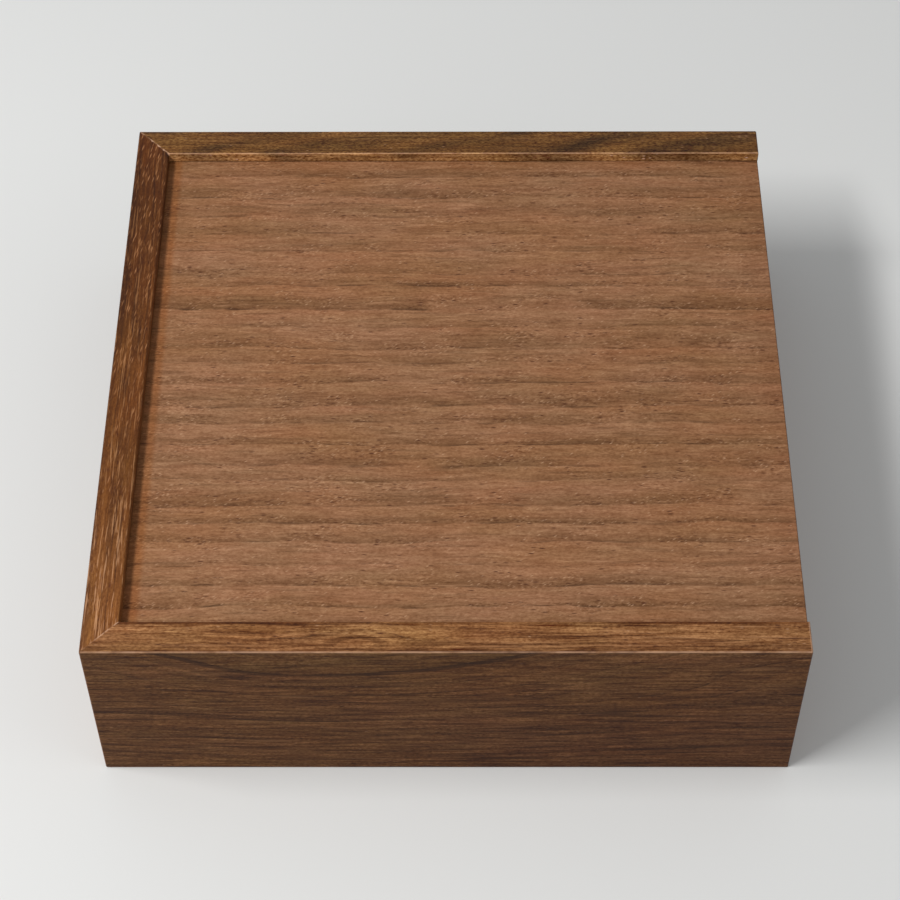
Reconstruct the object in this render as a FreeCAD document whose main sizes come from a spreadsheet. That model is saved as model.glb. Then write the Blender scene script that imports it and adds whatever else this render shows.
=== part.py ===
import FreeCAD, Part
import os
import Sketcher

doc = FreeCAD.newDocument("SlidingLidBox")

# Driving dimensions, in millimetres. X runs along the lid's travel, from the left wall to the right wall
# where the lid comes out, Y runs from front to back, and Z goes up from the face that the box rests on.
SIZES = {
    # Outside of the box, a square in plan.
    "outer_length": 250.0,
    "outer_depth": 250.0,
    "outer_height": 78.0,
    # Half-inch boards for the walls.
    "wall_thickness": 12.7,
    # One depth for the lid's groove, the bottom's groove and the rabbets at the right corners, so that
    # no groove shows on an end face.
    "groove_depth": 6.35,
    # The wood above the lid's groove, and the room that the lid has in its groove.
    "lip_height": 4.4,
    "lid_thickness": 6.35,
    "lid_headroom": 0.3,
    "lid_side_gap": 0.4,
    "lid_end_gap": 0.4,
    "lid_end_round": 0.5,
    "lid_edge_ease": 0.5,
    # How high the bottom panel sits, and its room to swell in the grooves.
    "panel_thickness": 6.35,
    "panel_height": 5.0,
    "panel_side_gap": 0.8,
    # Loose tongues across the two left mitres, with the wood left outside them and at their ends.
    "tongue_thickness": 3.2,
    "tongue_reach": 4.0,
    "tongue_cover": 3.5,
    "tongue_end_margin": 4.0,
    # Sanded arrises.
    "arris_ease": 0.4,
    "inner_arris_round": 1.0,
    # How far a cut runs past the wood that it takes away.
    "cut_overrun": 1.0,
}

sizes = doc.addObject("Spreadsheet::Sheet", "sizes")
for row, (name, value) in enumerate(SIZES.items(), start=1):
    sizes.set(f"A{row}", name)
    sizes.set(f"B{row}", str(value))
    sizes.setAlias(f"B{row}", name)
doc.recompute()

# Heights that several pieces share, as expressions on the sheet.
PANEL_TOP = "(sizes.panel_height + sizes.panel_thickness)"
GROOVE_TOP = "(sizes.outer_height - sizes.lip_height)"
GROOVE_FLOOR = f"({GROOVE_TOP} - sizes.lid_headroom - sizes.lid_thickness)"

# How far in from a wall's outer face its groove ends, its inner face lies, and a cut past it reaches.
GROOVE_BACK = "(sizes.wall_thickness - sizes.groove_depth)"
INNER_FACE = "sizes.wall_thickness"
PAST_INNER_FACE = "(sizes.wall_thickness + sizes.cut_overrun)"

# A tongue's half sizes along X and Y, and its middle measured in from both outer faces.
TONGUE_HALF_REACH = "(sizes.tongue_reach / sqrt(2))"
TONGUE_HALF_THICKNESS = "(sizes.tongue_thickness / 2 / sqrt(2))"
TONGUE_MIDDLE = f"(sizes.tongue_cover + {TONGUE_HALF_REACH} + {TONGUE_HALF_THICKNESS})"
TONGUE_FOOT = f"({PANEL_TOP} + sizes.tongue_end_margin)"
TONGUE_LENGTH = f"({GROOVE_FLOOR} - sizes.tongue_end_margin - {TONGUE_FOOT})"

# The side of the middle on which a wall or a corner lies.
FRONT = LEFT = -1
BACK = RIGHT = 1

# How near to an edge a point counts as lying on it.
ON_EDGE = 1e-6


def acrossFrom(side, inward):
    """Y of a point that lies inward of the front or back outer face."""
    return f"{side} * (sizes.outer_depth / 2 - {inward})"


def alongFrom(side, inward):
    """X of a point that lies inward of the left or right outer face."""
    return f"{side} * (sizes.outer_length / 2 - {inward})"


def measure(expression):
    """The value that an expression has with the sheet as it stands."""
    return float(sizes.evalExpression(expression))


def newBody(label):
    body = doc.addObject("PartDesign::Body", label)
    body.Label = label
    return body


def outline(body, name, role, corners, height="0"):
    """A closed outline on one of the body's origin planes, through corners given as expression pairs."""
    sketch = body.newObject("Sketcher::SketchObject", name)
    plane = next(item for item in body.Origin.OriginFeatures if item.Role == role)
    sketch.AttachmentSupport = [(plane, "")]
    sketch.MapMode = "FlatFace"
    sketch.setExpression("AttachmentOffset.Base.z", height)
    points = [FreeCAD.Vector(measure(first), measure(second), 0) for first, second in corners]
    count = len(points)
    for index in range(count):
        sketch.addGeometry(Part.LineSegment(points[index], points[(index + 1) % count]), False)
    for index in range(count):
        sketch.addConstraint(Sketcher.Constraint("Coincident", index, 2, (index + 1) % count, 1))
    for index, (first, second) in enumerate(corners):
        bindPoint(sketch, "DistanceX", index, points[index].x, first)
        bindPoint(sketch, "DistanceY", index, points[index].y, second)
    doc.recompute()
    return sketch


def bindPoint(sketch, kind, index, value, expression):
    """Ties one coordinate of a line's start point to an expression."""
    number = sketch.addConstraint(Sketcher.Constraint(kind, -1, 1, index, 1, value))
    sketch.setExpression(f"Constraints[{number}]", expression)


def pad(body, name, sketch, length, symmetric):
    feature = body.newObject("PartDesign::Pad", name)
    feature.Profile = sketch
    feature.Midplane = symmetric
    feature.setExpression("Length", length)
    doc.recompute()
    return feature


def cutUp(body, name, sketch, length):
    """Cuts upward from a sketch and makes sure that the cut takes wood away."""
    before = body.Shape.Volume
    feature = body.newObject("PartDesign::Pocket", name)
    feature.Profile = sketch
    feature.Reversed = True
    feature.setExpression("Length", length)
    doc.recompute()
    if not body.Shape.Volume < before:
        raise RuntimeError(f"{name} takes nothing away")
    return feature


def edgesThrough(feature, points):
    """The names of the edges on which the points lie, each point given as three expressions."""
    names = []
    for point in points:
        vertex = Part.Vertex(*[measure(coordinate) for coordinate in point])
        found = [
            f"Edge{number}"
            for number, edge in enumerate(feature.Shape.Edges, start=1)
            if edge.distToShape(vertex)[0] < ON_EDGE
        ]
        if len(found) != 1:
            raise RuntimeError(f"{feature.Name} has {len(found)} edges at {point}")
        names.extend(found)
    return names


def dressEdges(body, kind, name, base, points, size_property, size):
    """Chamfers or rounds the edges on which the points lie."""
    feature = body.newObject(kind, name)
    feature.Base = (base, edgesThrough(base, points))
    feature.setExpression(size_property, size)
    doc.recompute()
    return feature


def wallSection(from_face):
    """A full-height wall cut across: its bottom groove and its lid groove open on the inner face."""
    inner = from_face(INNER_FACE)
    groove = from_face(GROOVE_BACK)
    outer = from_face("0")
    return [
        (outer, "0"),
        (inner, "0"),
        (inner, "sizes.panel_height"),
        (groove, "sizes.panel_height"),
        (groove, PANEL_TOP),
        (inner, PANEL_TOP),
        (inner, GROOVE_FLOOR),
        (groove, GROOVE_FLOOR),
        (groove, GROOVE_TOP),
        (inner, GROOVE_TOP),
        (inner, "sizes.outer_height"),
        (outer, "sizes.outer_height"),
    ]


def planCorners(side, offsets):
    """Points near the left front or left back corner, from their offsets in from the two outer faces."""
    return [(alongFrom(LEFT, from_left), acrossFrom(side, from_side)) for from_left, from_side in offsets]


def swapped(offsets):
    return [(second, first) for first, second in offsets]


# The waste beyond a mitre, as offsets from the left face and from the front or back face, for a wall that
# runs along X. It takes the sharp outer arris with it, and the left wall's waste is its mirror image.
MITRE_WASTE = [
    ("(-sizes.cut_overrun)", "(-sizes.cut_overrun)"),
    ("(sizes.arris_ease + sizes.cut_overrun)", "(-sizes.cut_overrun)"),
    ("(sizes.arris_ease / 2)", "(sizes.arris_ease / 2)"),
    (PAST_INNER_FACE, PAST_INNER_FACE),
    ("(-sizes.cut_overrun)", PAST_INNER_FACE),
]

# A tongue seen from above, lying square across the mitre.
TONGUE_PLAN = [
    (
        f"({TONGUE_MIDDLE} + {reach} * {TONGUE_HALF_REACH} + {thickness} * {TONGUE_HALF_THICKNESS})",
        f"({TONGUE_MIDDLE} - {reach} * {TONGUE_HALF_REACH} + {thickness} * {TONGUE_HALF_THICKNESS})",
    )
    for reach, thickness in ((1, 1), (1, -1), (-1, -1), (-1, 1))
]


def cutMitre(body, side, waste):
    """Mitres a wall at the left front or left back corner and slots the mitre for its tongue."""
    corner = "front" if side == FRONT else "back"
    mitre = outline(body, f"{body.Label}_{corner}_mitre", "XY_Plane", planCorners(side, waste))
    cutUp(body, f"{body.Label}_{corner}_mitre_cut", mitre, "sizes.outer_height")
    slot = outline(
        body, f"{body.Label}_{corner}_slot", "XY_Plane", planCorners(side, TONGUE_PLAN), TONGUE_FOOT
    )
    cutUp(body, f"{body.Label}_{corner}_slot_cut", slot, TONGUE_LENGTH)


def longWall(label, side):
    """The front or back wall: mitred at its left end, square and rabbeted at its right end."""
    body = newBody(label)
    section = outline(
        body, f"{label}_section", "YZ_Plane", wallSection(lambda inward: acrossFrom(side, inward))
    )
    board = pad(body, f"{label}_board", section, "sizes.outer_length", True)
    outer = acrossFrom(side, "0")
    inner = acrossFrom(side, INNER_FACE)
    middle = acrossFrom(side, "sizes.wall_thickness / 2")
    end = alongFrom(RIGHT, "0")
    arrises = [
        ("0", outer, "0"),
        ("0", outer, "sizes.outer_height"),
        ("0", inner, "sizes.outer_height"),
        (end, outer, "sizes.outer_height / 2"),
        (end, middle, "sizes.outer_height"),
    ]
    dressEdges(
        body, "PartDesign::Chamfer", f"{label}_arrises", board, arrises, "Size", "sizes.arris_ease"
    )
    cutMitre(body, side, MITRE_WASTE)
    rabbet_start = alongFrom(RIGHT, INNER_FACE)
    rabbet_end = alongFrom(RIGHT, "(-sizes.cut_overrun)")
    rabbet_back = acrossFrom(side, GROOVE_BACK)
    rabbet_mouth = acrossFrom(side, PAST_INNER_FACE)
    rabbet = outline(
        body,
        f"{label}_rabbet",
        "XY_Plane",
        [
            (rabbet_start, rabbet_back),
            (rabbet_end, rabbet_back),
            (rabbet_end, rabbet_mouth),
            (rabbet_start, rabbet_mouth),
        ],
    )
    cutUp(body, f"{label}_rabbet_cut", rabbet, GROOVE_FLOOR)
    return body


def leftWall(label):
    """The wall between the two mitres, with a softer inner arris above the lid."""
    body = newBody(label)
    section = outline(
        body, f"{label}_section", "XZ_Plane", wallSection(lambda inward: alongFrom(LEFT, inward))
    )
    board = pad(body, f"{label}_board", section, "sizes.outer_depth", True)
    outer = alongFrom(LEFT, "0")
    inner = alongFrom(LEFT, INNER_FACE)
    outer_arrises = [(outer, "0", "0"), (outer, "0", "sizes.outer_height")]
    eased = dressEdges(
        body, "PartDesign::Chamfer", f"{label}_arrises", board, outer_arrises, "Size", "sizes.arris_ease"
    )
    inner_arris = [(inner, "0", "sizes.outer_height")]
    dressEdges(
        body,
        "PartDesign::Fillet",
        f"{label}_inner_arris",
        eased,
        inner_arris,
        "Radius",
        "sizes.inner_arris_round",
    )
    for side in (FRONT, BACK):
        cutMitre(body, side, swapped(MITRE_WASTE))
    return body


def rightWall(label):
    """The low wall under the lid, held in the rabbets of the front and back walls."""
    body = newBody(label)
    outer = alongFrom(RIGHT, "0")
    inner = alongFrom(RIGHT, INNER_FACE)
    groove = alongFrom(RIGHT, GROOVE_BACK)
    section = outline(
        body,
        f"{label}_section",
        "XZ_Plane",
        [
            (outer, "0"),
            (inner, "0"),
            (inner, "sizes.panel_height"),
            (groove, "sizes.panel_height"),
            (groove, PANEL_TOP),
            (inner, PANEL_TOP),
            (inner, GROOVE_FLOOR),
            (outer, GROOVE_FLOOR),
        ],
    )
    board = pad(body, f"{label}_board", section, f"sizes.outer_depth - 2 * {GROOVE_BACK}", True)
    arrises = [(outer, "0", "0"), (outer, "0", GROOVE_FLOOR)]
    dressEdges(
        body, "PartDesign::Chamfer", f"{label}_arrises", board, arrises, "Size", "sizes.arris_ease"
    )
    return body


def bottomPanel(label):
    """The floor of the box, loose in the grooves of the four walls."""
    panel = doc.addObject("Part::Box", label)
    panel.Label = label
    inward = f"({GROOVE_BACK} + sizes.panel_side_gap)"
    panel.setExpression("Length", f"sizes.outer_length - 2 * {inward}")
    panel.setExpression("Width", f"sizes.outer_depth - 2 * {inward}")
    panel.setExpression("Height", "sizes.panel_thickness")
    panel.setExpression("Placement.Base.x", alongFrom(LEFT, inward))
    panel.setExpression("Placement.Base.y", acrossFrom(FRONT, inward))
    panel.setExpression("Placement.Base.z", "sizes.panel_height")
    doc.recompute()
    return panel


def lid(label):
    """One flat board that runs in the grooves and ends flush with the right end of the box."""
    body = newBody(label)
    closed_end = alongFrom(LEFT, f"({GROOVE_BACK} + sizes.lid_end_gap)")
    open_end = alongFrom(RIGHT, "0")
    side_inward = f"({GROOVE_BACK} + sizes.lid_side_gap)"
    front = acrossFrom(FRONT, side_inward)
    back = acrossFrom(BACK, side_inward)
    plan = outline(
        body,
        f"{label}_plan",
        "XY_Plane",
        [(closed_end, front), (open_end, front), (open_end, back), (closed_end, back)],
        GROOVE_FLOOR,
    )
    board = pad(body, f"{label}_board", plan, "sizes.lid_thickness", False)
    top = f"({GROOVE_FLOOR} + sizes.lid_thickness)"
    sliding_arrises = [
        ("0", across, height) for across in (front, back) for height in (GROOVE_FLOOR, top)
    ]
    eased = dressEdges(
        body,
        "PartDesign::Chamfer",
        f"{label}_sliding_arrises",
        board,
        sliding_arrises,
        "Size",
        "sizes.lid_edge_ease",
    )
    pulled_arris = [(open_end, "0", top)]
    dressEdges(
        body, "PartDesign::Fillet", f"{label}_end", eased, pulled_arris, "Radius", "sizes.lid_end_round"
    )
    return body


def mitreTongue(label, side):
    """A loose tongue that fills the slots of both walls at one mitre."""
    body = newBody(label)
    plan = outline(body, f"{label}_plan", "XY_Plane", planCorners(side, TONGUE_PLAN), TONGUE_FOOT)
    pad(body, f"{label}_strip", plan, TONGUE_LENGTH, False)
    return body


def checkPieces(pieces):
    """Stops before anything is written if a feature failed or a piece isn't one sound solid."""
    for item in doc.Objects:
        if "Invalid" in item.State or "Error" in item.State:
            raise RuntimeError(f"{item.Name} failed: {item.State}")
    for piece in pieces:
        shape = piece.Shape
        if shape.isNull() or not shape.isValid() or len(shape.Solids) != 1:
            raise RuntimeError(f"{piece.Label} isn't one sound solid")


PIECES = [
    longWall("front_wall", FRONT),
    longWall("back_wall", BACK),
    leftWall("left_wall"),
    rightWall("right_wall"),
    bottomPanel("bottom_panel"),
    lid("lid"),
    mitreTongue("mitre_tongue_front", FRONT),
    mitreTongue("mitre_tongue_back", BACK),
]
doc.recompute()
checkPieces(PIECES)

os.makedirs("parts", exist_ok=True)
for piece in PIECES:
    piece.Shape.exportStep(f"parts/{piece.Label}.step")
    box = piece.Shape.BoundBox
    print(
        f"{piece.Label}: {piece.Shape.Volume:.1f} mm3, x {box.XMin:.2f} to {box.XMax:.2f},"
        f" y {box.YMin:.2f} to {box.YMax:.2f}, z {box.ZMin:.2f} to {box.ZMax:.2f}"
    )
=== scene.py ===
import math

import bpy
from mathutils import Matrix, Vector


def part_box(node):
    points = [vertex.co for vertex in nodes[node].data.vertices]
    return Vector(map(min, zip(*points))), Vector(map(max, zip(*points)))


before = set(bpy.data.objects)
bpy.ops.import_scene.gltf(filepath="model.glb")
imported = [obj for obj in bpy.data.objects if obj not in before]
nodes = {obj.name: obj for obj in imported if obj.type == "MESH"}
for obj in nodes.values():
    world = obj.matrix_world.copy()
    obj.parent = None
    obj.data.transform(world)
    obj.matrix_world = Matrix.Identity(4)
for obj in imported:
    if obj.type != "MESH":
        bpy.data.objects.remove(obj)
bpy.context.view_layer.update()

# Where the faces of the box lie, in metres.
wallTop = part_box("front_wall")[1].z
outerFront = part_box("front_wall")[0].y
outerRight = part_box("front_wall")[1].x
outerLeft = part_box("left_wall")[0].x
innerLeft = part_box("left_wall")[1].x
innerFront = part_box("front_wall")[1].y
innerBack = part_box("back_wall")[0].y
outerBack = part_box("back_wall")[1].y
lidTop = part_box("lid")[1].z
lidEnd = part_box("lid")[1].x
print("frame loaded:", ", ".join(sorted(nodes)))


# Small helpers that keep the node trees below readable.

unchanged = (1.0, 1.0, 1.0)  # factors that leave a colour as it is
mixSockets = {"under": 6, "over": 7, "result": 2}  # a Mix node's colour sockets, which share their names
softBorder = (0.6, 1.2)  # where a mark starts to fade and where it is gone, as shares of its width


def tone(red, green, blue):  # a colour as a screen shows it, 0 to 255, made linear as a shader wants it
    def linear(level):  # the sRGB curve
        part = level / 255
        return part / 12.92 if part <= 0.04045 else ((part + 0.055) / 1.055) ** 2.4
    return (linear(red), linear(green), linear(blue), 1.0)


def feed(socket, value):  # links an output to the socket, or sets the socket's own value
    if isinstance(value, bpy.types.NodeSocket):
        socket.id_data.links.new(value, socket)
    else:
        socket.default_value = value


def addNode(tree, kind, **settings):
    node = tree.nodes.new(kind)
    for setting, value in settings.items():
        setattr(node, setting, value)
    return node


def calc(tree, operation, *values, clamp=False):
    node = addNode(tree, "ShaderNodeMath", operation=operation, use_clamp=clamp)
    for socket, value in zip(node.inputs, values):
        feed(socket, value)
    return node.outputs[0]


def calcVector(tree, operation, *values):
    node = addNode(tree, "ShaderNodeVectorMath", operation=operation)
    for socket, value in zip(node.inputs, values):
        feed(socket, value)
    return node.outputs["Value" if operation == "LENGTH" else "Vector"]


def vector(tree, x, y, z):
    node = addNode(tree, "ShaderNodeCombineXYZ")
    for socket, value in zip(node.inputs, (x, y, z)):
        feed(socket, value)
    return node.outputs[0]


def parts(tree, place):  # the x, y and z of a place
    node = addNode(tree, "ShaderNodeSeparateXYZ")
    feed(node.inputs[0], place)
    return tuple(node.outputs)


def turned(tree, place, shift, degrees):  # the place moved, and turned about z
    node = addNode(tree, "ShaderNodeMapping")
    feed(node.inputs["Vector"], place)
    node.inputs["Location"].default_value = shift
    node.inputs["Rotation"].default_value = (0.0, 0.0, math.radians(degrees))
    return node.outputs["Vector"]


def rise(tree, value, low, high, start=0.0, end=1.0):  # a smooth step from start to end between low and high
    node = addNode(tree, "ShaderNodeMapRange", interpolation_type="SMOOTHSTEP")
    settings = (("Value", value), ("From Min", low), ("From Max", high), ("To Min", start), ("To Max", end))
    for name, number in settings:
        feed(node.inputs[name], number)
    return node.outputs["Result"]


def fall(tree, value, low, high):  # a smooth step from 1 at low to 0 at high
    return rise(tree, value, low, high, 1.0, 0.0)


def near(tree, value, target, width):  # 1 at the target, 0 further away than about that width
    away = calc(tree, "ABSOLUTE", calc(tree, "SUBTRACT", value, target))
    return fall(tree, away, width * softBorder[0], width * softBorder[1])


def spot(tree, place, middle, size):  # 1 at the middle, falling softly to 0 at that size away from it
    away = calcVector(tree, "DIVIDE", calcVector(tree, "SUBTRACT", place, middle), size)
    return fall(tree, calcVector(tree, "LENGTH", away), 0.0, 1.0)


def atTop(tree, z, depths, least=0.0):  # 1 at the top of the walls, least from the first depth down
    return rise(tree, z, wallTop - depths[0], wallTop - depths[1], least, 1.0)


def both(tree, first, *others):  # masks multiplied together
    for other in others:
        first = calc(tree, "MULTIPLY", first, other)
    return first


def atLeast(tree, value, least):  # 0 to 1 squeezed to least to 1
    return calc(tree, "MULTIPLY_ADD", value, 1.0 - least, least)


def centred(tree, value):  # a noise counted from its middle
    return calc(tree, "SUBTRACT", value, 0.5)


def noise(tree, place, size, detail=2.0, roughness=0.5):  # cloudy noise with clouds of that size in metres
    node = addNode(tree, "ShaderNodeTexNoise")
    feed(node.inputs["Vector"], calcVector(tree, "DIVIDE", place, size))
    node.inputs["Scale"].default_value = 1.0
    node.inputs["Detail"].default_value = detail
    node.inputs["Roughness"].default_value = roughness
    return node.outputs["Fac"]


def lineNoise(tree, value):  # noise along one number
    node = addNode(tree, "ShaderNodeTexNoise", noise_dimensions="1D")
    feed(node.inputs["W"], value)
    node.inputs["Scale"].default_value = 1.0
    node.inputs["Detail"].default_value = 1.0
    return node.outputs["Fac"]


def chanceFor(tree, value):  # a random number for each whole value
    node = addNode(tree, "ShaderNodeTexWhiteNoise", noise_dimensions="1D")
    feed(node.inputs["W"], value)
    return node.outputs["Value"]


# Short marks of that size, a share of them drawn, some fainter than others.
def dashes(tree, place, size, share, core=0.10, edge=0.36, faintest=0.3):
    node = addNode(tree, "ShaderNodeTexVoronoi")
    feed(node.inputs["Vector"], calcVector(tree, "DIVIDE", place, size))
    node.inputs["Scale"].default_value = 1.0
    mark = fall(tree, node.outputs["Distance"], core, edge)
    chance, strength, _ = parts(tree, node.outputs["Color"])
    chosen = calc(tree, "LESS_THAN", chance, share)
    return both(tree, mark, chosen, atLeast(tree, strength, faintest))


def blend(tree, amount, under, over):
    node = addNode(tree, "ShaderNodeMix", data_type="RGBA")
    feed(node.inputs["Factor"], amount)
    feed(node.inputs[mixSockets["under"]], under)
    feed(node.inputs[mixSockets["over"]], over)
    return node.outputs[mixSockets["result"]]


def paint(tree, color, mask, strength, paintTone):  # a tone laid over the colour where the mask is 1
    return blend(tree, calc(tree, "MULTIPLY", mask, strength), color, paintTone)


def tint(tree, color, mask, factors):  # scales the colour's red, green and blue where the mask is 1
    scaled = calcVector(tree, "MULTIPLY", color, factors)
    return blend(tree, mask, color, scaled)


# Walnut. Rings, streaks, fibres and pores are cut from one solid, so that the figure on a face, an edge and
# the end grain belong together. X of the grain place runs along the grain.

grain = {  # what all the boards have in common; a range is where in its noise a thing begins and is full
    "swayDepth": 0.6,  # of the sway across the board
    "driftRange": (0.3, 0.7),
    "ringChanges": 0.8,  # changes of width in each ring
    "ringStart": 0.2,  # how far through a ring its wood begins to darken
    "ringStrength": (0.45, 0.5),  # of the faintest ring, and what chance adds to it
    "patchRange": (0.32, 0.64),  # the late wood is darker in patches
    "leastPatch": 0.2,
    "lineRange": (0.46, 0.66),
    "lineStart": (0.84, 0.95),  # how far through a ring its dark line comes in
    "lineStop": (0.96, 1.0),  # and goes out
    "streakRange": (0.53, 0.72),
    "groupRange": (0.52, 0.74),
    "groupsAtRings": 0.22,  # how far dark wood draws the pores and flecks to it
    "groupFibres": 0.7,  # how much stronger the fine fibres are there
    "shadeFactors": (0.9, 1.15, 1.4),  # the dark wood is more saturated, so its blue changes most
    "loosePores": 0.1,  # the share of the pores that is drawn outside their groups
    "looseFlecks": 0.15,
    "fleckShift": (0.0131, 0.0067, 0.0042),
    "fibreRoughness": 0.16,
    "poreRoughness": 0.15,
    "fibreHeight": 0.5,  # beside a pore, which is 1 deep
    "reliefDepth": 0.0002,
    "endTint": (0.62, 0.56, 0.50),
    "endLayer": (0.0004, 0.0001),  # how far inside an end the tint starts and is full
}


def grainPlace(tree, coordinates, look):
    straight = turned(tree, coordinates, look["shift"], look["grainTurn"])
    sway = calc(tree, "MULTIPLY", centred(tree, noise(tree, straight, look["swaySize"])), look["sway"])
    depth = calc(tree, "MULTIPLY", sway, grain["swayDepth"])
    return calcVector(tree, "ADD", straight, vector(tree, 0.0, sway, depth))


def growthRings(tree, place, look):  # how much late wood there is, and the thin dark line that ends a ring
    fromPith = calcVector(tree, "SUBTRACT", place, look["pith"])
    radius = calcVector(tree, "LENGTH", calcVector(tree, "MULTIPLY", fromPith, (look["taper"], 1.0, 1.0)))
    if "figure" in look:
        radius = calc(tree, "ADD", radius, look["figure"](tree, place))
    wave = centred(tree, noise(tree, place, look["waveSize"], detail=3.0))
    radius = calc(tree, "MULTIPLY_ADD", wave, look["waveHeight"], radius)
    ring = calc(tree, "DIVIDE", radius, look["ringWidth"])
    uneven = centred(tree, lineNoise(tree, calc(tree, "MULTIPLY", ring, grain["ringChanges"])))
    ring = calc(tree, "MULTIPLY_ADD", uneven, look["ringUnevenness"], ring)
    phase = calc(tree, "FRACT", ring)
    faintest, added = grain["ringStrength"]
    strength = calc(tree, "MULTIPLY_ADD", chanceFor(tree, calc(tree, "FLOOR", ring)), added, faintest)
    patches = rise(tree, noise(tree, place, look["patchSize"]), *grain["patchRange"])
    darkening = rise(tree, phase, grain["ringStart"], look["ringPeak"])
    lateWood = both(tree, darkening, fall(tree, phase, look["ringPeak"], 1.0))
    lateWood = both(tree, lateWood, strength, atLeast(tree, patches, grain["leastPatch"]))
    stretches = rise(tree, noise(tree, place, look["lineSize"]), *grain["lineRange"])
    darkLine = both(tree, rise(tree, phase, *grain["lineStart"]), fall(tree, phase, *grain["lineStop"]))
    return radius, lateWood, both(tree, darkLine, stretches, strength)


def boardColor(tree, place, look, lateWood, darkLine):  # slow changes of colour, then rings and streaks
    drift = rise(tree, noise(tree, place, look["driftSize"], detail=3.0), *grain["driftRange"])
    color = blend(tree, drift, look["bodyTone"], look["driftTone"])
    red = centred(tree, noise(tree, place, look["rednessSize"]))
    redder = calcVector(tree, "MULTIPLY_ADD", vector(tree, red, red, red), look["redness"], unchanged)
    color = calcVector(tree, "MULTIPLY", color, redder)
    color = paint(tree, color, lateWood, look["lateWood"], look["lateTone"])
    streaks = rise(tree, noise(tree, place, look["streakSize"], roughness=0.55), *grain["streakRange"])
    color = paint(tree, color, streaks, look["streaks"], look["streakTone"])
    return paint(tree, color, darkLine, look["darkLines"], look["lineTone"])


def shadeBy(tree, color, noiseValue, amount):  # lighter and darker wood
    change = calc(tree, "MULTIPLY", centred(tree, noiseValue), amount)
    changes = vector(tree, change, change, change)
    factors = calcVector(tree, "MULTIPLY_ADD", changes, grain["shadeFactors"], unchanged)
    return calcVector(tree, "MULTIPLY", color, factors)


def addFibres(tree, place, look, groups, color):  # coarse and fine ones, faint waves, pale streaks
    fibres = noise(tree, place, look["fibreSize"], detail=3.0, roughness=0.65)
    color = shadeBy(tree, color, fibres, look["fibres"])
    fineFibres = noise(tree, place, look["fineSize"], roughness=0.6)
    fineAmount = calc(tree, "MULTIPLY_ADD", groups, grain["groupFibres"], look["fineFibres"])
    color = shadeBy(tree, color, fineFibres, fineAmount)
    color = shadeBy(tree, color, noise(tree, place, look["curlSize"], detail=1.0), look["curl"])
    paleStreaks = rise(tree, noise(tree, place, look["paleSize"], roughness=0.55), *look["paleRange"])
    return paint(tree, color, paleStreaks, look["paleStreaks"], look["paleTone"]), fibres, fineFibres


def addPores(tree, place, look, groups, color):  # in loose groups at the dark lines
    loose = look["poreShare"] * grain["loosePores"]
    share = calc(tree, "MULTIPLY_ADD", groups, look["poreShare"], loose)
    pores = dashes(tree, place, look["poreSize"], share)
    return paint(tree, color, pores, look["pores"], look["poreTone"]), pores


def addFlecks(tree, place, look, groups, color):  # pale flecks of painted sheen, slantwise where the grain is ruffled
    ruffled = turned(tree, place, grain["fleckShift"], look["fleckTurn"])
    loose = look["fleckShare"] * grain["looseFlecks"]
    share = calc(tree, "MULTIPLY_ADD", groups, look["fleckShare"], loose)
    flecks = dashes(tree, ruffled, look["fleckSize"], share)
    return paint(tree, color, flecks, look["flecks"], look["fleckTone"])


def addRelief(tree, shader, look, fineFibres, pores):
    depth = calc(tree, "MULTIPLY", pores, -1.0)
    height = calc(tree, "MULTIPLY_ADD", fineFibres, grain["fibreHeight"], depth)
    bump = addNode(tree, "ShaderNodeBump")
    bump.inputs["Strength"].default_value = look["relief"]
    bump.inputs["Distance"].default_value = grain["reliefDepth"]
    feed(bump.inputs["Height"], height)
    feed(shader.inputs["Normal"], bump.outputs["Normal"])


def wood(name, look, marksAndPaintedLight=None):
    material = bpy.data.materials.new(name)
    material.use_nodes = True
    tree = material.node_tree
    shader = tree.nodes["Principled BSDF"]
    coordinates = addNode(tree, "ShaderNodeTexCoord").outputs["Object"]
    place = grainPlace(tree, coordinates, look)
    radius, lateWood, darkLine = growthRings(tree, place, look)
    color = boardColor(tree, place, look, lateWood, darkLine)
    groupNoise = noise(tree, place, look["groupSize"])
    groups = calc(tree, "MULTIPLY_ADD", lateWood, grain["groupsAtRings"], groupNoise)
    groups = rise(tree, groups, *grain["groupRange"])
    color, fibres, fineFibres = addFibres(tree, place, look, groups, color)
    color, pores = addPores(tree, place, look, groups, color)
    color = addFlecks(tree, place, look, groups, color)
    if marksAndPaintedLight:  # each piece's marks and painted light and shade are handed the rings' radius too, which the front wall's arc follows
        color = marksAndPaintedLight(tree, coordinates, radius, color)
    feed(shader.inputs["Base Color"], color)
    smoothest = look["roughness"] - grain["fibreRoughness"] / 2
    rough = calc(tree, "MULTIPLY_ADD", fibres, grain["fibreRoughness"], smoothest)
    rough = calc(tree, "MULTIPLY_ADD", pores, grain["poreRoughness"], rough)
    feed(shader.inputs["Roughness"], rough)
    addRelief(tree, shader, look, fineFibres, pores)
    shader.inputs["Specular IOR Level"].default_value = look["gloss"]
    return material


def endGrain(tree, coordinates, color, end):  # a board's sawn end drinks more oil, so it is darker
    x, _, _ = parts(tree, coordinates)
    start, full = grain["endLayer"]
    return tint(tree, color, rise(tree, x, end - start, end - full), grain["endTint"])


# Pale wood where a top arris or a mitre is sanded through.

wear = {
    "tone": tone(198, 156, 126),
    "patchSize": (0.007, 0.007, 0.007),  # of the stretches where an arris is more worn or less
    "patchRange": (0.30, 0.62),
    "leastPatch": 0.35,
    "breakSize": (0.0030, 0.0030, 0.0030),  # of the breaks in a mitre's line
    "breakRange": (0.44, 0.56),
    "leastBreak": 0.1,
    "topDepths": (0.0015, 0.0005),  # a mitre's line shows on the top edge only
    "mitreInset": 0.004,  # how far from the inner corner the line is full
}

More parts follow.
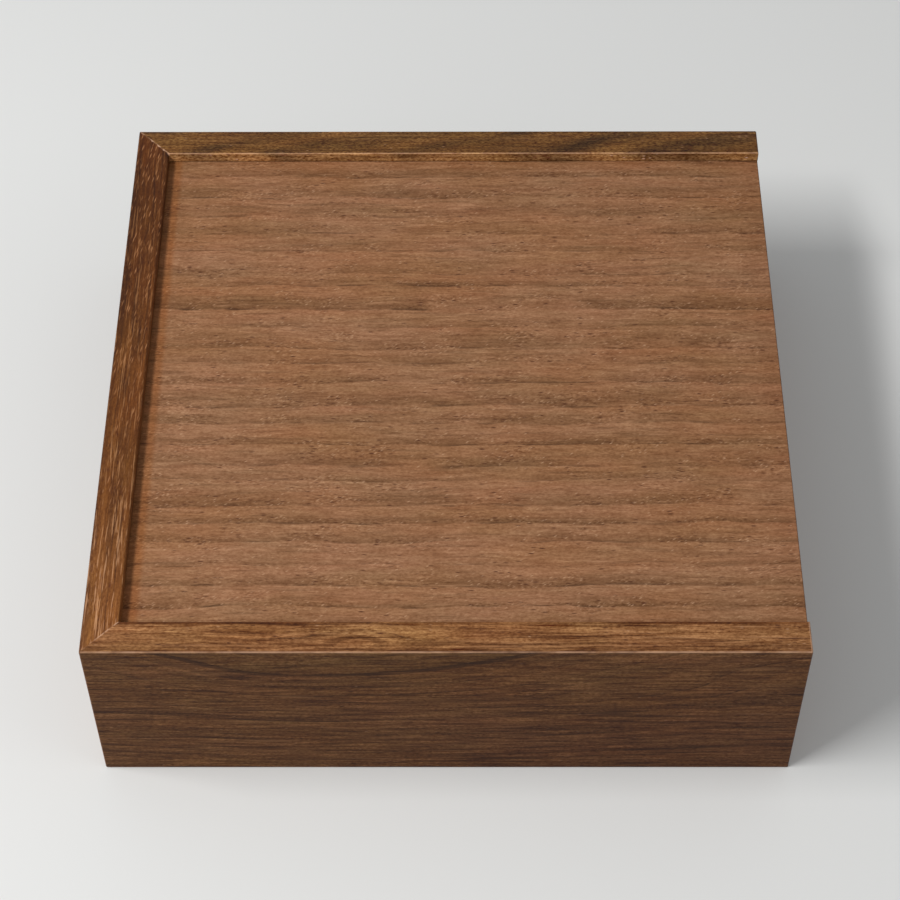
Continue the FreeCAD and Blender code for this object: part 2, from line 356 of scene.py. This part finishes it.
mitres = {  # the line's turn, its width, and what is left of it at the outer corner
    "front": {"turn": 1.0, "width": 0.00035, "fade": 0.15},
    "back": {"turn": -1.0, "width": 0.0005, "fade": 0.55},
}


def wornArris(tree, coordinates, color, axis, level, strength, width):  # where that axis has that level
    axes = dict(zip("xyz", parts(tree, coordinates)))
    mask = both(tree, near(tree, axes[axis], level, width), near(tree, axes["z"], wallTop, width))
    patches = noise(tree, coordinates, wear["patchSize"], detail=3.0)
    uneven = rise(tree, patches, *wear["patchRange"], wear["leastPatch"], 1.0)
    return blend(tree, both(tree, mask, uneven, strength), color, wear["tone"])


def mitreLine(tree, coordinates, color, corner, strength):
    # The mitres run at 45 degrees from the outer corners at the left. The line fades outwards.
    mitre = mitres[corner]
    x, y, z = parts(tree, coordinates)
    across = calc(tree, "SUBTRACT", x, calc(tree, "MULTIPLY", y, mitre["turn"]))
    onLine = near(tree, across, 0.0, mitre["width"])
    breaks = noise(tree, coordinates, wear["breakSize"])
    broken = rise(tree, breaks, *wear["breakRange"], wear["leastBreak"], 1.0)
    inward = rise(tree, x, outerLeft, innerLeft - wear["mitreInset"], mitre["fade"], 1.0)
    onTop = atTop(tree, z, wear["topDepths"])
    return blend(tree, both(tree, onLine, broken, inward, onTop, strength), color, wear["tone"])


# The lid: one rift-sawn board, rings nearly parallel, each darkening forward to a thin broken line.

lidLook = {
    "shift": (0.0, 0.0, 0.0),
    "grainTurn": 0.0,
    "pith": (0.0, 0.36, -0.10),
    "taper": 0.02,
    "swaySize": (0.050, 0.018, 0.018),
    "sway": 0.0050,
    "ringWidth": 0.0084,
    "ringUnevenness": 0.8,
    "ringPeak": 0.89,  # how far through a ring its dark wood is darkest
    "waveSize": (0.024, 0.010, 0.010),
    "waveHeight": 0.0030,
    "patchSize": (0.034, 0.008, 0.008),
    "lineSize": (0.013, 0.004, 0.004),
    "driftSize": (0.060, 0.020, 0.020),
    "bodyTone": tone(142, 98, 65),
    "driftTone": tone(147, 105, 75),
    "rednessSize": (0.034, 0.007, 0.007),
    "redness": (0.22, 0.0, 0.05),
    "lateTone": tone(98, 65, 38),
    "lateWood": 0.84,
    "streakSize": (0.030, 0.0016, 0.0026),
    "streaks": 0.34,
    "streakTone": tone(86, 57, 34),
    "lineTone": tone(60, 35, 18),
    "darkLines": 0.8,
    "fibreSize": (0.009, 0.0012, 0.0014),
    "fibres": 1.15,
    "fineSize": (0.0014, 0.0006, 0.0007),
    "fineFibres": 1.15,
    "curlSize": (0.008, 0.030, 0.030),
    "curl": 0.16,
    "paleSize": (0.012, 0.0012, 0.0014),
    "paleRange": (0.60, 0.78),
    "paleTone": tone(178, 132, 98),
    "paleStreaks": 0.45,
    "groupSize": (0.018, 0.006, 0.006),
    "poreSize": (0.0042, 0.0010, 0.0011),
    "poreShare": 1.10,
    "poreTone": tone(76, 40, 23),
    "pores": 1.0,
    # the pale flecks are painted sheen
    "fleckTurn": -28.0,
    "fleckSize": (0.0026, 0.0008, 0.0009),
    "fleckShare": 0.95,
    "fleckTone": tone(200, 158, 124),
    "flecks": 0.55,
    "roughness": 0.50,
    "relief": 0.35,
    "gloss": 0.12,
}

lidShade = {
    "wallShadowTint": (0.92, 0.76, 0.57),  # painted shadow: darker and warmer beside the left wall, where its shadow falls
    "wallShadowMiddle": 0.0012,  # away from the wall
    "wallShadowWidth": 0.0045,
    "endTint": (0.92, 0.88, 0.86),  # and a little darker at its free end
    "endReach": (0.012, 0.002),  # how far from the end the tint starts and is full
}


def lidMarksAndShade(tree, coordinates, radius, color):
    x, _, _ = parts(tree, coordinates)
    # painted shadow of the left wall on the lid
    inWallShadow = near(tree, x, innerLeft + lidShade["wallShadowMiddle"], lidShade["wallShadowWidth"])
    color = tint(tree, color, inWallShadow, lidShade["wallShadowTint"])
    start, full = lidShade["endReach"]
    color = tint(tree, color, rise(tree, x, lidEnd - start, lidEnd - full), lidShade["endTint"])
    return endGrain(tree, coordinates, color, lidEnd)


# The front wall: a flat-sawn board with one shallow arc hanging from the top of its broad face. The same
# rings rise to the inner arris on its top edge, with a curl in the grain above the arc.

frontWall = {
    "arcCentre": -0.050,  # where the arc hangs lowest, along the wall
    "leftReach": 0.085,
    "leftRise": 0.020,
    "rightReach": 0.200,
    "rightRise": 0.034,
    "straightDepth": 0.040,  # from this depth down the lines run nearly straight
    "straightShare": 0.3,
    "innerDepth": 0.005,  # the arc thins out over this much of the wall's thickness
    "innerShare": 0.16,  # and this much of it is left behind that
    "arcRadius": 0.0550,
    "arcWidth": 0.0010,
    "arcTint": (0.44, 0.39, 0.36),
    "belowArc": 0.0018,
    "belowArcWidth": 0.0007,
    "belowArcTint": (1.08, 1.06, 1.05),
    "heartBorder": 0.0006,
    "heartTint": (0.87, 0.90, 0.83),  # inside the arc
    "faceLayer": (0.0001, 0.0005),  # how far inside the wall the face's own marks stop
    # lifts the broad face a little; together with the outer tint this makes its painted shade
    "faceTint": (1.05, 1.06, 1.06),
    "lowSpan": (-0.08, 0.06),  # along the wall
    "lowHeights": (0.02, 0.06),
    "lowTint": (0.80, 0.74, 0.78),
    "outerDepth": 0.0085,  # the outer part of the top edge is darker wood, and the broad face gets painted shade
    "outerToneAndShadeTint": (0.75, 0.71, 0.67),
    # painted shade along the inner arris of the top edge
    "lipWidth": 0.0014,
    "lipDepths": (0.0020, 0.0010),
    "lipPatchSize": (0.030, 0.030, 0.030),
    "lipPatchRange": (0.38, 0.58),
    "leastLip": 0.5,
    "paintedLipTint": (0.42, 0.30, 0.20),
    "arrisWear": 0.68,
    "arrisWidth": 0.0005,
    "endWear": 0.8,
    "endWidth": 0.0006,
    "mitreWear": 0.7,
}

curl = {
    "middle": (-0.030, -0.119, 0.080),
    "size": (0.022, 0.009, 0.012),
    "height": 0.0042,
    "lineRadius": 0.0425,  # of the dark line around it
    "lineWidth": 0.0007,
    "lineTint": (0.40, 0.32, 0.24),
    "goldMiddle": (-0.014, -0.118, 0.078),
    "goldSize": (0.030, 0.012, 0.004),
    "goldTint": (1.16, 1.20, 1.10),
    "redMiddle": (-0.066, -0.115, 0.078),
    "redSize": (0.030, 0.012, 0.004),
    "redTint": (0.88, 0.80, 0.72),
}


def frontArc(tree, place):  # what is added to the rings' radius, so that they hang in an arc
    x, y, z = parts(tree, place)
    leftward = calc(tree, "SUBTRACT", frontWall["arcCentre"], x)
    rightward = calc(tree, "SUBTRACT", x, frontWall["arcCentre"])
    leftBend = rise(tree, leftward, 0.0, frontWall["leftReach"], 0.0, frontWall["leftRise"])
    rightBend = rise(tree, rightward, 0.0, frontWall["rightReach"], 0.0, frontWall["rightRise"])
    bend = calc(tree, "ADD", leftBend, rightBend)
    bend = both(tree, bend, atTop(tree, z, (frontWall["straightDepth"], 0.0), frontWall["straightShare"]))
    innerSide = outerFront + frontWall["innerDepth"]
    bend = both(tree, bend, rise(tree, y, outerFront, innerSide, 1.0, frontWall["innerShare"]))
    swirl = spot(tree, place, curl["middle"], curl["size"])
    return calc(tree, "MULTIPLY_ADD", swirl, -curl["height"], bend)


def frontFace(tree, coordinates, radius, color):  # what is seen on the broad face alone
    x, y, z = parts(tree, coordinates)
    start, stop = frontWall["faceLayer"]
    face = fall(tree, y, outerFront + start, outerFront + stop)
    color = tint(tree, color, face, frontWall["faceTint"])
    low = both(tree, face, rise(tree, x, *frontWall["lowSpan"]), fall(tree, z, *frontWall["lowHeights"]))
    color = tint(tree, color, low, frontWall["lowTint"])
    arcRadius = frontWall["arcRadius"]
    heart = fall(tree, radius, arcRadius - frontWall["heartBorder"], arcRadius)
    color = tint(tree, color, both(tree, face, heart), frontWall["heartTint"])
    arc = near(tree, radius, arcRadius, frontWall["arcWidth"])
    color = tint(tree, color, both(tree, face, arc), frontWall["arcTint"])
    belowArc = near(tree, radius, arcRadius + frontWall["belowArc"], frontWall["belowArcWidth"])
    return tint(tree, color, both(tree, face, belowArc), frontWall["belowArcTint"])


def frontLipShade(tree, coordinates, color):  # painted shade: a broken dark line along the inner arris, which turns away from the light
    _, y, z = parts(tree, coordinates)
    patches = noise(tree, coordinates, frontWall["lipPatchSize"])
    broken = rise(tree, patches, *frontWall["lipPatchRange"], frontWall["leastLip"], 1.0)
    alongArris = near(tree, y, innerFront, frontWall["lipWidth"])
    lip = both(tree, alongArris, atTop(tree, z, frontWall["lipDepths"]), broken)
    return tint(tree, color, lip, frontWall["paintedLipTint"])


def frontMarksAndShade(tree, coordinates, radius, color):
    _, y, _ = parts(tree, coordinates)
    for hue in ("gold", "red"):
        glow = spot(tree, coordinates, curl[hue + "Middle"], curl[hue + "Size"])
        color = tint(tree, color, glow, curl[hue + "Tint"])
    # painted shade on the broad face, and darker wood along the outer part of the top edge
    outer = fall(tree, y, outerFront, outerFront + frontWall["outerDepth"])
    color = tint(tree, color, outer, frontWall["outerToneAndShadeTint"])
    color = frontFace(tree, coordinates, radius, color)
    curled = spot(tree, coordinates, curl["middle"], curl["size"])
    curlLine = both(tree, curled, near(tree, radius, curl["lineRadius"], curl["lineWidth"]))
    color = tint(tree, color, curlLine, curl["lineTint"])
    color = frontLipShade(tree, coordinates, color)
    topWear = (frontWall["arrisWear"], frontWall["arrisWidth"])
    color = wornArris(tree, coordinates, color, "y", outerFront, *topWear)
    color = endGrain(tree, coordinates, color, outerRight)
    endWear = (frontWall["endWear"], frontWall["endWidth"])
    color = wornArris(tree, coordinates, color, "x", outerRight, *endWear)
    return mitreLine(tree, coordinates, color, "front", frontWall["mitreWear"])


frontLook = dict(lidLook)
frontLook.update({
    "pith": (0.0, -0.150, 0.112),
    "figure": frontArc,
    "ringWidth": 0.0042,
    "ringUnevenness": 1.6,
    "ringPeak": 0.93,
    "waveSize": (0.060, 0.012, 0.012),
    "waveHeight": 0.0016,
    "sway": 0.0030,
    "swaySize": (0.070, 0.020, 0.020),
    "bodyTone": tone(136, 91, 53),
    "driftTone": tone(145, 99, 62),
    "lateTone": tone(86, 49, 23),
    "lateWood": 0.95,
    "patchSize": (0.090, 0.014, 0.014),
    "lineSize": (0.060, 0.006, 0.006),
    "streakSize": (0.050, 0.0013, 0.0015),
    "streaks": 0.95,
    "streakTone": tone(84, 47, 22),
    "fibreSize": (0.019, 0.0010, 0.0012),
    "fibres": 3.3,
    "fineFibres": 2.0,
    "curl": 0.10,
    "paleSize": (0.045, 0.0010, 0.0014),
    "paleRange": (0.58, 0.74),
    "paleTone": tone(176, 128, 88),
    "paleStreaks": 0.55,
    "fleckTurn": 0.0,
    "fleckShare": 0.15,
})


# The back wall: a darker board, its rings cut at a slant along the top edge.

backWall = {
    "topSlope": -0.24,
    "lowSlope": -0.05,
    "slopeDepths": (0.045, 0.005),  # below the top, where the slope starts to change and stops
    "innerTint": (0.93, 0.88, 0.80),
    "faceWidth": 0.0004,
    "lipDepth": 0.0035,
    "paintedLipTint": (3.2, 3.8, 5.5),  # painted light: its inner face is lit up above the lid
    "footHeight": 0.0012,
    "footShadeTint": (0.62, 0.55, 0.50),  # painted shade: dark where the lid meets it
    "arrisWear": 0.55,
    "arrisWidth": 0.0004,
    "mitreWear": 0.9,
}


def backSlope(tree, place):  # the rings cross the top edge at a slant and level out below it
    x, _, z = parts(tree, place)
    low, high = (wallTop - depth for depth in backWall["slopeDepths"])
    return calc(tree, "MULTIPLY", x, rise(tree, z, low, high, backWall["lowSlope"], backWall["topSlope"]))


def backMarksLightAndShade(tree, coordinates, radius, color):
    _, y, z = parts(tree, coordinates)
    color = tint(tree, color, rise(tree, y, outerBack, innerBack), backWall["innerTint"])
    innerFace = near(tree, y, innerBack, backWall["faceWidth"])
    # painted light on the inner face above the lid
    lip = both(tree, innerFace, rise(tree, z, lidTop - backWall["lipDepth"], lidTop))
    color = tint(tree, color, lip, backWall["paintedLipTint"])
    # painted shade at the foot of the inner face, where the lid meets it
    foot = both(tree, innerFace, fall(tree, z, lidTop, lidTop + backWall["footHeight"]))
    color = tint(tree, color, foot, backWall["footShadeTint"])
    color = endGrain(tree, coordinates, color, outerRight)
    topWear = (backWall["arrisWear"], backWall["arrisWidth"])
    color = wornArris(tree, coordinates, color, "y", innerBack, *topWear)
    return mitreLine(tree, coordinates, color, "back", backWall["mitreWear"])


backLook = dict(frontLook)
backLook.update({
    "shift": (0.8, 0.0, 0.0),
    "pith": (0.0, 0.02, 0.14),
    "figure": backSlope,
    "ringWidth": 0.0120,
    "ringPeak": 0.60,
    "waveHeight": 0.0080,
    "patchSize": (0.040, 0.020, 0.020),
    "bodyTone": tone(116, 78, 40),
    "driftTone": tone(96, 63, 30),
    "lateTone": tone(50, 33, 16),
    "lateWood": 1.0,
    "darkLines": 0.5,
    "streaks": 0.45,
    "streakTone": tone(66, 42, 20),
    "fibres": 2.1,
    "fineFibres": 3.2,
    "paleTone": tone(150, 110, 70),
    "paleStreaks": 0.30,
})


# The left wall: a redder board that darkens towards the back. Its top edge has thin pale streaks, and short
# slanting flecks towards the back, painted sheen of pores catching the light. They are fainter on its faces.

leftWall = {
    "frontTint": (1.40, 1.50, 1.80),
    "frontReach": 0.10,
    "backTint": (0.50, 0.41, 0.31),
    "cornerShadePlace": (innerLeft, innerBack, wallTop),  # painted shade: a dark spot at the inner back corner
    "cornerShadeSize": (0.0024, 0.0030, 0.0030),
    "cornerShadeTint": (0.30, 0.26, 0.26),
    "topDepths": (0.0020, 0.0008),  # how far down the top edge's marks fade
    "faceShare": 0.30,  # of the streaks and flecks
    # the pale streaks and flecks are painted sheen
    "streakSize": (0.0005, 0.0120, 0.0009),
    "streakRange": (0.56, 0.66),
    "streakTone": tone(204, 150, 102),
    "streaks": 0.42,
    "fleckSlant": 0.17,
    "fleckSize": (0.0008, 0.0062, 0.0010),
    "fleckShares": (0.05, 1.0),  # the share drawn at the front and at the back
    "fleckTone": tone(164, 113, 74),
    "mitreWear": {"back": 0.9, "front": 0.6},
}


def leftMarksShadeAndSheen(tree, coordinates, radius, color):
    x, y, z = parts(tree, coordinates)
    onTop = atTop(tree, z, leftWall["topDepths"], leftWall["faceShare"])
    # painted sheen: pale streaks and flecks where the pores catch the light
    streaks = noise(tree, coordinates, leftWall["streakSize"], roughness=0.55)
    streaks = rise(tree, streaks, *leftWall["streakRange"])
    color = blend(tree, both(tree, streaks, onTop, leftWall["streaks"]), color, leftWall["streakTone"])
    atFront = fall(tree, y, outerFront, outerFront + leftWall["frontReach"])
    color = tint(tree, color, atFront, leftWall["frontTint"])
    color = tint(tree, color, rise(tree, y, outerFront, outerBack), leftWall["backTint"])
    across = calc(tree, "MULTIPLY_ADD", y, -leftWall["fleckSlant"], x)
    share = rise(tree, y, outerFront, outerBack, *leftWall["fleckShares"])
    flecks = dashes(tree, vector(tree, across, y, z), leftWall["fleckSize"], share)
    color = blend(tree, both(tree, flecks, onTop), color, leftWall["fleckTone"])
    # painted shade in the inner back corner
    cornerShade = spot(tree, coordinates, leftWall["cornerShadePlace"], leftWall["cornerShadeSize"])
    color = tint(tree, color, cornerShade, leftWall["cornerShadeTint"])
    for corner, strength in leftWall["mitreWear"].items():
        color = mitreLine(tree, coordinates, color, corner, strength)
    return color


leftLook = dict(lidLook)
leftLook.update({
    "shift": (0.1, 0.3, 0.0),
    "grainTurn": 90.0,
    "ringWidth": 0.0060,
    "ringPeak": 0.93,
    "bodyTone": tone(119, 71, 31),
    "driftTone": tone(102, 59, 23),
    "lateTone": tone(68, 37, 17),
    "streakTone": tone(62, 34, 16),
    "streakSize": (0.040, 0.0012, 0.0016),
    "streaks": 0.60,
    "fibreSize": (0.014, 0.0009, 0.0012),
    "fibres": 1.9,
    "paleStreaks": 0.15,
    # the pale flecks are painted sheen
    "fleckTurn": 0.0,
    "fleckSize": (0.0036, 0.0007, 0.0010),
    "fleckShare": 0.6,
    "fleckTone": tone(214, 160, 114),
    "flecks": 0.25,
})


# The right wall and the bottom, which the lid hides, are plain boards.

rightLook = dict(leftLook)
rightLook.update({
    "shift": (0.4, 0.2, 0.0),
    "bodyTone": tone(134, 88, 50),
    "driftTone": tone(122, 79, 43),
    "ringWidth": 0.0090,
    "lateWood": 0.95,
    "fleckShare": 0.2,
})

panelLook = dict(lidLook)
panelLook.update({"shift": (0.6, 0.1, 0.3), "bodyTone": tone(136, 92, 60), "driftTone": tone(142, 100, 70)})


# The tongues inside the mitres: pale, plain wood.

beechLook = dict(lidLook)
beechLook.update({
    "bodyTone": tone(206, 170, 128),
    "driftTone": tone(214, 180, 140),
    "lateTone": tone(184, 144, 102),
    "streakTone": tone(180, 140, 98),
    "lineTone": tone(150, 108, 72),
    "paleTone": tone(228, 198, 160),
    "poreTone": tone(150, 110, 76),
    "fleckTone": tone(158, 116, 80),
    "fibres": 0.5,
    "fineFibres": 0.4,
    "relief": 0.15,
})

tongueBeech = wood("tongueBeech", beechLook)
pieceWoods = {
    "lid": wood("lidWalnut", lidLook, lidMarksAndShade),
    "front_wall": wood("frontWallWalnut", frontLook, frontMarksAndShade),
    "back_wall": wood("backWallWalnut", backLook, backMarksLightAndShade),
    "left_wall": wood("leftWallWalnut", leftLook, leftMarksShadeAndSheen),
    "right_wall": wood("rightWallWalnut", rightLook),
    "bottom_panel": wood("bottomWalnut", panelLook),
    "mitre_tongue_front": tongueBeech,
    "mitre_tongue_back": tongueBeech,
}
for piece, pieceWood in pieceWoods.items():
    nodes[piece].material_slots[0].material = pieceWood
print("wood laid on", len(pieceWoods), "pieces")


# Floor, light and camera.

def seenDirectly(tree):  # 1 for what the camera, a reflection or clear glass sees, 0 for light that bounces
    path = addNode(tree, "ShaderNodeLightPath").outputs
    seen = calc(tree, "ADD", path["Is Camera Ray"], path["Is Glossy Ray"])
    return calc(tree, "ADD", seen, path["Is Transmission Ray"], clamp=True)


floorLook = {
    "size": 8.0,
    "tone": tone(226, 226, 224),
    "bounceTone": tone(110, 110, 110),  # duller for bounced light, or the floor lights up the walls
    "roughness": 0.9,
    "gloss": 0.1,
}


def makeFloor():
    bpy.ops.mesh.primitive_plane_add(size=floorLook["size"], location=(0.0, 0.0, 0.0))
    floor = bpy.context.object
    floor.name = "floor"
    material = bpy.data.materials.new("paleFloor")
    material.use_nodes = True
    tree = material.node_tree
    shader = tree.nodes["Principled BSDF"]
    color = blend(tree, seenDirectly(tree), floorLook["bounceTone"], floorLook["tone"])
    feed(shader.inputs["Base Color"], color)
    shader.inputs["Roughness"].default_value = floorLook["roughness"]
    shader.inputs["Specular IOR Level"].default_value = floorLook["gloss"]
    floor.data.materials.append(material)


makeFloor()
print("floor laid")

lamps = {
    "windowLeft": {"place": (-0.80, -0.30, 1.20), "size": (0.80, 0.16), "power": 15.6},
    "softRight": {"place": (1.10, -0.35, 0.95), "size": (1.0, 0.6), "power": 1.5},
}
lampTarget = (0.0, 0.0, 0.04)  # about the middle of the box


def makeLamps():
    for name, lamp in lamps.items():
        data = bpy.data.lights.new(name, "AREA")
        data.shape = "RECTANGLE"
        data.size, data.size_y = lamp["size"]
        data.energy = lamp["power"]
        light = bpy.data.objects.new(name, data)
        light.location = lamp["place"]
        aim = Vector(lampTarget) - Vector(lamp["place"])
        light.rotation_euler = aim.to_track_quat("-Z", "Y").to_euler()
        bpy.context.scene.collection.objects.link(light)


makeLamps()

surround = {"tone": tone(238, 240, 242), "ambient": 0.43}


def makeSurround():
    world = bpy.data.worlds.new("paleSurround")
    bpy.context.scene.world = world
    world.use_nodes = True
    tree = world.node_tree
    background = tree.nodes["Background"]
    background.inputs["Color"].default_value = surround["tone"]
    ambient = surround["ambient"]
    strength = calc(tree, "MULTIPLY_ADD", seenDirectly(tree), 1.0 - ambient, ambient)
    feed(background.inputs["Strength"], strength)


makeSurround()
print("lamps and surround placed")

cameraView = {
    "place": (0.00494, -0.55265, 0.74760),  # metres
    "turn": 0.408,  # degrees about the upright
    "tilt": 37.537,  # degrees up from straight down
    "roll": -0.360,  # degrees about the line of sight
    "lens": 93.11,  # millimetres, on a sensor of the next width
    "sensor": 36.0,
    "farthest": 50.0,
}


def makeCamera():
    data = bpy.data.cameras.new("photoCamera")
    data.sensor_width = cameraView["sensor"]
    data.lens = cameraView["lens"]
    data.clip_end = cameraView["farthest"]
    camera = bpy.data.objects.new("photoCamera", data)
    turn = Matrix.Rotation(math.radians(cameraView["turn"]), 4, "Z")
    tilt = Matrix.Rotation(math.radians(cameraView["tilt"]), 4, "X")
    roll = Matrix.Rotation(math.radians(cameraView["roll"]), 4, "Z")
    camera.matrix_world = Matrix.Translation(cameraView["place"]) @ turn @ tilt @ roll
    bpy.context.scene.collection.objects.link(camera)
    bpy.context.scene.camera = camera


makeCamera()
bpy.context.scene.view_settings.view_transform = "Standard"
print("camera placed")
